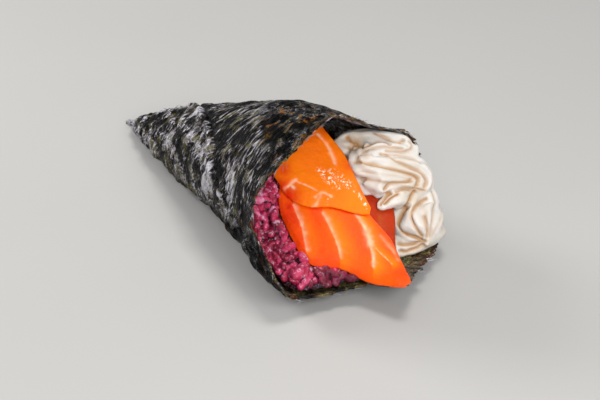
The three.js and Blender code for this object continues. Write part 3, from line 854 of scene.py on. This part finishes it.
cream = {
    "voxel": 0.34,
    "relax": 14,
    "swell": 0.3,
    "creaseReach": 4,
    "groove": (1.1, 0.75),  # depth and width of a crease
    "ridge": (0.22, 2.3, 1.1),  # the swelling beside a crease: height, distance and width
    "tone": (0.7, 1.45),  # the painted shade in a crease: its width, and the crease that has all of it
    "bump": 0.00008,
    "colours": {
        "cream": srgb(214, 209, 203),
        "shade": srgb(206, 195, 180),
        # painted shade in the creases
        "creaseShade": srgb(180, 138, 94),
    },
    # painted shade in hollows of the cream: where, how wide and how dark
    "shadeSpots": [((33, 13.6, 33.7), 1.9, 0.9), ((38.6, 12.8, 32.4), 2.4, 0.5),
               ((40.5, 10.5, 30.5), 1.6, 0.4)],
    # creases between the ridges that the star nozzle left, and how deep each one is
    "creases": [
        (1.6, [(29.6, 13.3, 34.7), (31.7, 13.5, 34.1), (33.6, 13.9, 33.6), (36.7, 13.7, 34.5)]),
        (1.1, [(31.9, 12.2, 31.7), (34.6, 11.9, 33.1), (35.5, 13.5, 33.7), (37.1, 15.3, 34.3),
               (36.4, 19.1, 33.6), (37, 21.4, 33.4), (39.6, 21.9, 33.7)]),
        (0.8, [(38.1, 10.3, 32.1), (38.4, 11.6, 33.1), (37.8, 14.4, 33.2), (38.3, 16.7, 33.4),
               (39.4, 19.8, 33.2), (40.5, 22.8, 32.4), (41.6, 25.5, 31.6)]),
        (1.0, [(34, 21, 35.4), (35.4, 22.3, 34.5), (36.8, 23.5, 33.5), (38.3, 24.7, 32.9),
               (39.1, 26, 32.5), (39.1, 27.5, 32.6)]),
        (0.8, [(40.5, 28.8, 32.8), (41.1, 29.5, 31.5), (42.3, 28, 31.1), (42.1, 25.9, 30.8),
               (41.3, 22.9, 31.5), (40.3, 19.8, 32.3)]),
        (0.6, [(41.4, 19.7, 31.7), (42.6, 22.6, 30.6), (43.6, 25.8, 29.3), (44.6, 27.8, 28.3),
               (46.6, 28.1, 28)]),
        (1.2, [(38.4, 9.6, 31.1), (40, 9.9, 31.5), (41.2, 11.2, 31.4), (42.9, 13.7, 30.5),
               (45, 16.7, 29.5), (46.3, 19.5, 28.3), (47.5, 22.5, 26.9), (48.4, 24.6, 25.3),
               (49.1, 25.2, 23.9), (50.4, 23.4, 23.3)]),
        (1.0, [(40.7, 17.5, 32.2), (41.4, 19.7, 30.9), (44.2, 20.5, 30.4), (45.5, 22.6, 28.9),
               (46.7, 24.8, 27.4), (47.9, 26.6, 26.2), (48.9, 27.8, 24.6), (49.7, 28, 22.9),
               (50.4, 26.6, 21.9)]),
        (0.35, [(41.3, 9.6, 29.2), (43.4, 11.8, 28.9), (45.6, 14.6, 28.2), (47, 18.2, 26.9),
               (48.2, 21.2, 25.5)]),
        (0.8, [(40.6, 9.9, 26), (43.2, 10.4, 26.9), (46.3, 11.8, 27.1), (47.7, 14.5, 26.3),
               (48.5, 17, 26)]),
        (1.2, [(47.9, 13.2, 24.8), (47.7, 14.5, 25.8), (48.1, 15.7, 26), (48.9, 18.2, 25.5),
               (49.2, 20.4, 25.3), (48.6, 22.9, 24.8)]),
        (1.0, [(49.6, 16.1, 23.5), (49.3, 18.8, 23.1), (49.4, 21.4, 22.6), (50.5, 23.7, 22.3),
               (51.4, 26.2, 21.2)]),
        (1.5, [(49.3, 10.1, 21), (48.8, 11.4, 21.7), (48.4, 13.2, 22.6), (48.6, 14.6, 23.2)]),
        (1.6, [(49.9, 11.6, 21.4), (50.1, 13, 22.4), (50.4, 14.6, 23), (50.6, 16.1, 23.2)]),
        (1.5, [(49.9, 23, 21.2), (50.5, 21.4, 20.3), (51.2, 19.5, 19.2), (50.1, 19.1, 16),
               (51, 16.8, 14.5), (52, 15.2, 13.1), (53.4, 14.8, 11.9), (55, 15.8, 11.3),
               (56.7, 17.6, 10.6), (58.2, 19.5, 9.5)]),
        (1.2, [(51.9, 26.3, 18.5), (51.3, 24.4, 17.5), (52.8, 20.7, 17.4), (53.9, 18.4, 16.3),
               (55.3, 18, 15), (57.1, 18.4, 13.2), (58.1, 19.6, 10.8)]),
        (1.0, [(56, 22, 15.6), (57.7, 21.4, 14.2), (58.5, 21.3, 12.1), (58.8, 21, 10.3)]),
        (0.7, [(50.8, 29.7, 19.2), (52.3, 29.1, 18), (53.3, 28.6, 16.2), (55.9, 25.7, 15.3),
               (58.1, 23.2, 13.7), (58.9, 21.9, 10.3)]),
        (0.5, [(53.3, 31.4, 13.4), (57.6, 27.1, 13.5), (59, 24.3, 11.9), (59.1, 22.3, 9.9)]),
        (1.2, [(54, 13.6, 8.6), (55.4, 14.4, 8.5), (56.7, 16.5, 8.3), (57.7, 18.8, 8.6),
               (58.8, 20.2, 9.2)]),
        (1.2, [(56, 13.1, 7), (57.1, 14.2, 6.7), (57.5, 15.8, 7.3), (57.9, 18.3, 7.3),
               (58.5, 19.7, 7.8)]),
    ],
}


def makeCream():
    bm = evenMesh(nodeMesh("cream_cheese"), cream["voxel"])
    relax(bm, cream["relax"])
    for vert in bm.verts:
        vert.co += vert.normal * cream["swell"]
    bm.normal_update()
    layer = addLayers(bm, "creaseShade")["creaseShade"]
    tree = vertTree(bm)
    sunk = [0.0] * len(bm.verts)
    raised = [0.0] * len(bm.verts)
    grooveDepth, grooveWidth = cream["groove"]
    ridgeHeight, ridgeAt, ridgeWidth = cream["ridge"]
    toneWidth, fullTone = cream["tone"]
    for depth, points in cream["creases"]:
        line = smoothLine([tree.find(Vector(point))[0] for point in points], 16)
        for index, (distance, spot) in nearLine(tree, line, cream["creaseReach"]).items():
            ridge = ridgeHeight * depth * bell(distance - ridgeAt, ridgeWidth)
            sunk[index] = max(sunk[index], depth * math.exp(-distance / grooveWidth))
            raised[index] = max(raised[index], ridge)
            raiseTo(bm.verts[index], layer, depth * bell(distance, toneWidth) / fullTone)
    for point, size, strength in cream["shadeSpots"]:
        markNear(bm, tree, layer, [Vector(point)], size * 2, size, strength)
    for vert, depth, lift in zip(bm.verts, sunk, raised):
        vert.co += vert.normal * (lift - grooveDepth * depth)
    relax(bm, 1, 0.35)
    finishPiece(bm, "creamCheese", creamMaterial(), "cream_cheese")


def creamMaterial():
    look = cream["colours"]
    material, tree, shader = newMaterial("creamCheese")
    place = objectPlace(tree)
    cloud = noiseOf(tree, place, 110, 2)
    grain = noiseOf(tree, place, 1400, 4, 0.6)
    # painted shade in the creases and in the darker hollows
    creaseShade = rangeOf(tree, attributeOf(tree, "creaseShade"), 0.08, 0.85)
    colour = mixOf(tree, rangeOf(tree, cloud, 0.4, 0.7), look["cream"], look["shade"])
    setShader(tree, shader, Base_Color=mixOf(tree, creaseShade, colour, look["creaseShade"]),
              Roughness=rangeOf(tree, grain, 0.3, 0.7, 0.5, 0.38),
              Normal=bumpOf(tree, grain, cream["bump"]), Specular_IOR_Level=0.45,
              Subsurface_Weight=0.3, Subsurface_Scale=0.0016, Subsurface_Radius=(1, 0.7, 0.45))
    return material


# The rice: a sticky bed, darkened as painted shade between the grains, with single grains on it

rice = {
    "voxel": 0.5,
    "relax": 6,
    "sunk": 0.75,  # how far the bed lies below the solid's own surface
    "lumps": [(1, 2.2), (0.6, 0.9)],  # of the bed: height and size
    "lumpHeight": 0.55,
    "grain": (5.2, 2.7, 2.3),
    "size": (0.72, 1.3),
    "thickness": (0.85, 1.15),
    "depth": (-0.9, 0.35),  # of a grain's middle, measured from the solid's surface
    "tilt": 1.0,
    "grains": 360,
    "tries": 9000,
    "spacing": 1.85,
    "seed": 21,
    "reach": (5, 62),  # the grains lie between these two places along the roll
    "clear": (0.12, 0.6),  # the gap to the other pieces, and how much more to the nori
    "tested": 0.42,  # of a grain's length, width and height: how far out the gap is measured
    "bright": (28, -17.6, 24.3),  # the grains are paler round here
    "far": (54, 4.5),  # and darkened from here on, over this far, as painted shade under the front slice
    # no grain comes so near to the edge of the front slice, which lies over the rice
    "bare": 1.6,
    "sliceEdge": [(34.5, -15, 20.1), (38, -15.5, 17.8), (42.1, -16, 15), (45.4, -16.4, 12.6),
                  (47.9, -16.4, 11.1), (50.9, -14.7, 11.2), (53.8, -11.8, 12.2)],
    "bump": (0.0006, 0.0014),  # of a grain and of the wet film on it
    "grainCoat": 0.7,
    "bedCoat": 0.3,
    # the colours are multiplied by these: the bed's as painted shade between the grains, and the
    # far rice's as painted shade under the front slice
    "bedShade": (0.2, 0.16, 0.18, 1),
    "sliceShadeTint": (0.25, 0.12, 0.25, 1),
    "colours": {
        "deep": srgb(76, 4, 28),
        "wine": srgb(156, 18, 58),
        "pink": srgb(206, 52, 100),
        "pale": srgb(222, 140, 176),
        "filmAndGlint": srgb(226, 190, 216),
    },
}


def farAt(x):
    start, over = rice["far"]
    return smooth((x - start) / over)


def makeRiceBed():
    bm = evenMesh(nodeMesh("rice"), rice["voxel"])
    relax(bm, rice["relax"])
    layer = addLayers(bm, "far")["far"]
    for vert in bm.verts:
        vert[layer] = farAt(vert.co.x)
        lumps = bumpsAt(vert.co, rice["lumps"])
        vert.co -= vert.normal * (rice["sunk"] - rice["lumpHeight"] * lumps)
    bm.normal_update()
    material = riceMaterial("riceBed", rice["bedCoat"], rice["bedShade"])
    finishPiece(bm, "riceBed", material, "rice")


# Whether a point keeps clear of the other pieces: outside the salmon and the cream, and
# inside the rolled sheet
def clearOf(point, trees):
    gap, more = rice["clear"]
    for name, tree in trees.items():
        spot, normal, index, distance = tree.find_nearest(point)
        outside = (point - spot).dot(normal) > 0
        if name == "nori_sheet":
            inwards = Vector((spot.x, coneTip.y, 16)) - spot
            if distance < gap + more or normal.dot(inwards) < 0 or not outside:
                return False
        elif distance < gap or not outside:
            return False
    return True


# Shapes the one grain mesh, which starts from the points of a ball, into the next grain
def setGrain(grain, ball, layers, middle, turn, size, thick, tint):
    long, wide, high = rice["grain"]
    for vert, (x, y, z) in zip(grain.verts, ball):
        dent = 1 + 0.35 * waver(x * 3, y * 3 + tint * 40, z * 3)
        bend = 0.9 * z * z + 0.3 * waver(z * 2.5, tint * 60, 3)
        vert.co = middle + turn @ Vector((z * long * size, x * wide * thick * dent,
                                          y * high * thick * dent + bend))
        vert[layers["tint"]] = tint + bell((middle - Vector(rice["bright"])).length, 5)
        vert[layers["far"]] = farAt(middle.x)


# The other CAD bodies, as trees that know the nearest point on them
def otherBodies():
    trees = {}
    for name in ("nori_sheet", *salmonShape, "cream_cheese"):
        body = nodeMesh(name)
        trees[name] = BVHTree.FromBMesh(body)
        body.free()
    return trees


def makeRiceGrains():
    draw = random.Random(rice["seed"])
    trees = otherBodies()
    bed = nodeMesh("rice")
    bmesh.ops.triangulate(bed, faces=bed.faces)
    start, end = rice["reach"]
    faces = [face for face in bed.faces if start < face.calc_center_median().x < end]
    weights = [face.calc_area() for face in faces]
    grain = bmesh.new()
    bmesh.ops.create_uvsphere(grain, u_segments=9, v_segments=6, radius=0.5)
    layers = addLayers(grain, "tint", "far")
    ball = [vert.co.copy() for vert in grain.verts]
    # a grain is tested at its middle, at its ends, on both sides and on top
    ways = ((1, 0, 0), (-1, 0, 0), (0, 1, 0), (0, -1, 0), (0, 0, 1), (0, 0, 0))
    long, wide, high = rice["grain"]
    tested = rice["tested"]
    sliceEdge = smoothLine(rice["sliceEdge"], 4)
    mesh = bpy.data.meshes.new("grain")
    bm = bmesh.new()
    middles = []
    for i in range(rice["tries"]):
        face = draw.choices(faces, weights)[0]
        a, b = sorted((draw.random(), draw.random()))
        corners = [vert.co for vert in face.verts]
        spot = corners[0] * a + corners[1] * (b - a) + corners[2] * (1 - b)
        middle = spot + face.normal * draw.uniform(*rice["depth"])
        spin, tip = draw.uniform(0, math.tau), draw.uniform(-1, 1) * rice["tilt"]
        size, thick = draw.uniform(*rice["size"]), draw.uniform(*rice["thickness"])
        tint = draw.random()
        if any((middle - other).length < rice["spacing"] for other in middles):
            continue
        turn = face.normal.to_track_quat("Z", "X").to_matrix() @ Matrix.Rotation(spin, 3, "Z")
        turn = turn @ Matrix.Rotation(tip, 3, "Y")
        ends = [middle + turn @ Vector((x * long * size * tested, y * wide * tested,
                                        z * high * tested)) for x, y, z in ways]
        if not all(clearOf(end, trees) for end in ends):
            continue
        if any((end - point).length < rice["bare"] for end in ends for point in sliceEdge):
            continue
        middles.append(middle)
        setGrain(grain, ball, layers, middle, turn, size, thick, tint)
        grain.to_mesh(mesh)
        bm.from_mesh(mesh)
        if len(middles) >= rice["grains"]:
            break
    grain.free()
    bpy.data.meshes.remove(mesh)
    bed.free()
    bmesh.ops.recalc_face_normals(bm, faces=bm.faces)
    print("grains", len(middles), "after", i, "tries")
    material = riceMaterial("riceGrain", rice["grainCoat"])
    finishPiece(bm, "riceGrains", material, "rice")


def riceMaterial(name, coat, dimmed=None):
    look = rice["colours"]
    material, tree, shader = newMaterial(name)
    place = objectPlace(tree)
    cloud = noiseOf(tree, place, 420, 4, 0.6)
    filmAndGlints = noiseOf(tree, place, 950, 2, 0.5, 1.0)
    fine = noiseOf(tree, place, 700, 4, 0.65)
    tint = sumOf(tree, "ADD", sumOf(tree, "MULTIPLY", attributeOf(tree, "tint"), 0.4),
                 sumOf(tree, "MULTIPLY", cloud, 0.85))
    colour = rampOf(tree, tint, (0.3, 0.55, 0.82, 1.0),
                    [look[name] for name in ("deep", "wine", "pink", "pale")])
    # the bed darkened as painted shade between the grains
    if dimmed:
        colour = mixOf(tree, 1.0, colour, dimmed, "MULTIPLY")
    # pale specks: the film on the grains and painted wet glints
    colour = mixOf(tree, rangeOf(tree, filmAndGlints, 0.58, 0.67, 0, 0.6), colour, look["filmAndGlint"])
    # painted shade under the front slice
    sliceShadeTint = mixOf(tree, 1.0, colour, rice["sliceShadeTint"], "MULTIPLY")
    grainBump, filmBump = rice["bump"]
    setShader(tree, shader, Base_Color=mixOf(tree, attributeOf(tree, "far"), colour, sliceShadeTint),
              Normal=bumpOf(tree, fine, grainBump), Coat_Normal=bumpOf(tree, fine, filmBump),
              Roughness=0.45, Specular_IOR_Level=0.3, Coat_Weight=coat, Coat_Roughness=0.1,
              Subsurface_Weight=0.15, Subsurface_Scale=0.0012)
    return material


# Floor, lights and camera, in metres

studio = {
    "floor": (srgb(180, 178, 175), srgb(174, 172, 169)),
    "floorSize": 1.5,
    "world": (0.9, 0.94, 1, 1),
    "worldStrength": 0.32,
    "aim": (0.02, 0, 0.02),
    # each light's place, size, energy and colour
    "lights": {
        "overhead": ((0.05, 0.12, 0.7), 0.22, 2.2, (1, 0.98, 0.95)),
        "behindLeft": ((-0.55, -0.26, 0.36), 0.3, 3.4, (1, 1, 1)),
        "front": ((0.6, -0.12, 0.42), 0.28, 2.9, (1, 1, 1)),
        "low": ((0.503, -0.38, 0.36), 0.2, 1.4, (1, 1, 1)),
    },
}


def makeFloor():
    bm = bmesh.new()
    bmesh.ops.create_grid(bm, x_segments=1, y_segments=1, size=studio["floorSize"])
    mesh = takeMesh(bm, "floor")
    material, tree, shader = newMaterial("floor")
    tone = mixOf(tree, noiseOf(tree, objectPlace(tree), 6, 2), *studio["floor"])
    setShader(tree, shader, Base_Color=tone, Roughness=0.7)
    mesh.materials.append(material)
    addObject("floor", mesh)
    print("floor")


def addLight(name, place, size, energy, colour):
    data = bpy.data.lights.new(name, "AREA")
    data.size = size
    data.energy = energy
    data.color = colour
    light = addObject(name, data)
    light.location = place
    back = Vector(place) - Vector(studio["aim"])
    light.rotation_euler = back.to_track_quat("Z", "Y").to_euler()


def makeLights():
    scene = bpy.context.scene
    scene.view_settings.view_transform = "Standard"
    scene.world = bpy.data.worlds.new("studio")
    scene.world.use_nodes = True
    background = scene.world.node_tree.nodes["Background"]
    background.inputs["Color"].default_value = studio["world"]
    background.inputs["Strength"].default_value = studio["worldStrength"]
    for name, settings in studio["lights"].items():
        addLight(name, *settings)
    print("lights", len(studio["lights"]))


cameraPlace = {
    "target": (30.91, -5.82, 20.0),  # in millimetres, as the distance is
    "distance": 565,
    "azimuth": 52,
    "elevation": 30,
    "lens": 112.5,
    "sensor": 36,
    "clipStart": 0.01,
}


def makeCamera():
    look = cameraPlace
    azimuth, elevation = math.radians(look["azimuth"]), math.radians(look["elevation"])
    level = math.cos(elevation)
    back = Vector((math.sin(azimuth) * level, -math.cos(azimuth) * level, math.sin(elevation)))
    data = bpy.data.cameras.new("camera")
    data.lens = look["lens"]
    data.sensor_width = look["sensor"]
    data.clip_start = look["clipStart"]
    camera = addObject("camera", data)
    camera.location = (Vector(look["target"]) + back * look["distance"]) * mm
    camera.rotation_euler = back.to_track_quat("Z", "Y").to_euler()
    bpy.context.scene.camera = camera
    print("camera")


makeCamera()
makeLights()
makeFloor()
makeNoriSheet()
makeNoriFibres()
for node in salmonShape:
    makeSalmon(node)
makeCream()
makeRiceBed()
makeRiceGrains()
